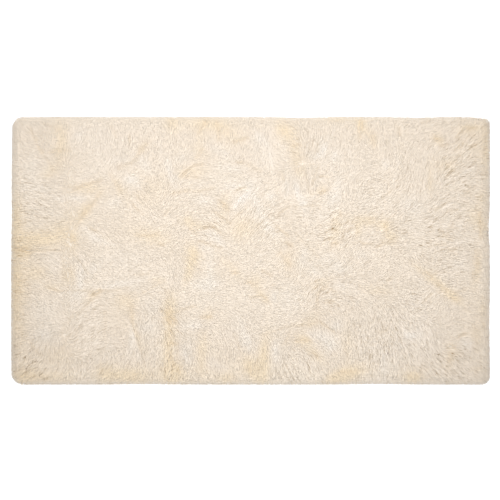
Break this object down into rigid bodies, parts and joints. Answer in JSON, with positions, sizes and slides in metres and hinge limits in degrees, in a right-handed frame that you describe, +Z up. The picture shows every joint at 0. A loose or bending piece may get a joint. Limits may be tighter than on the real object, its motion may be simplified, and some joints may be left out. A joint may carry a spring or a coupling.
{
  "type": "shag rug",
  "caption": "Rectangular cream shag rug lying flat, its long pile combed over in clumps and falling to the floor round the rim.",
  "frame": {"origin": "middle of the flat underside, which is the middle of the bottom of the bounding box", "axes": "+X along the rug's length, +Y across its width, +Z up out of the pile"},
  "size_m": [1.6006, 0.8972, 0.038],
  "materials": {
    "pile": "matte long-pile polyester yarn"
  },
  "bodies": {
    "root": {"shag_rug": "pile"}
  },
  "joints": []
}
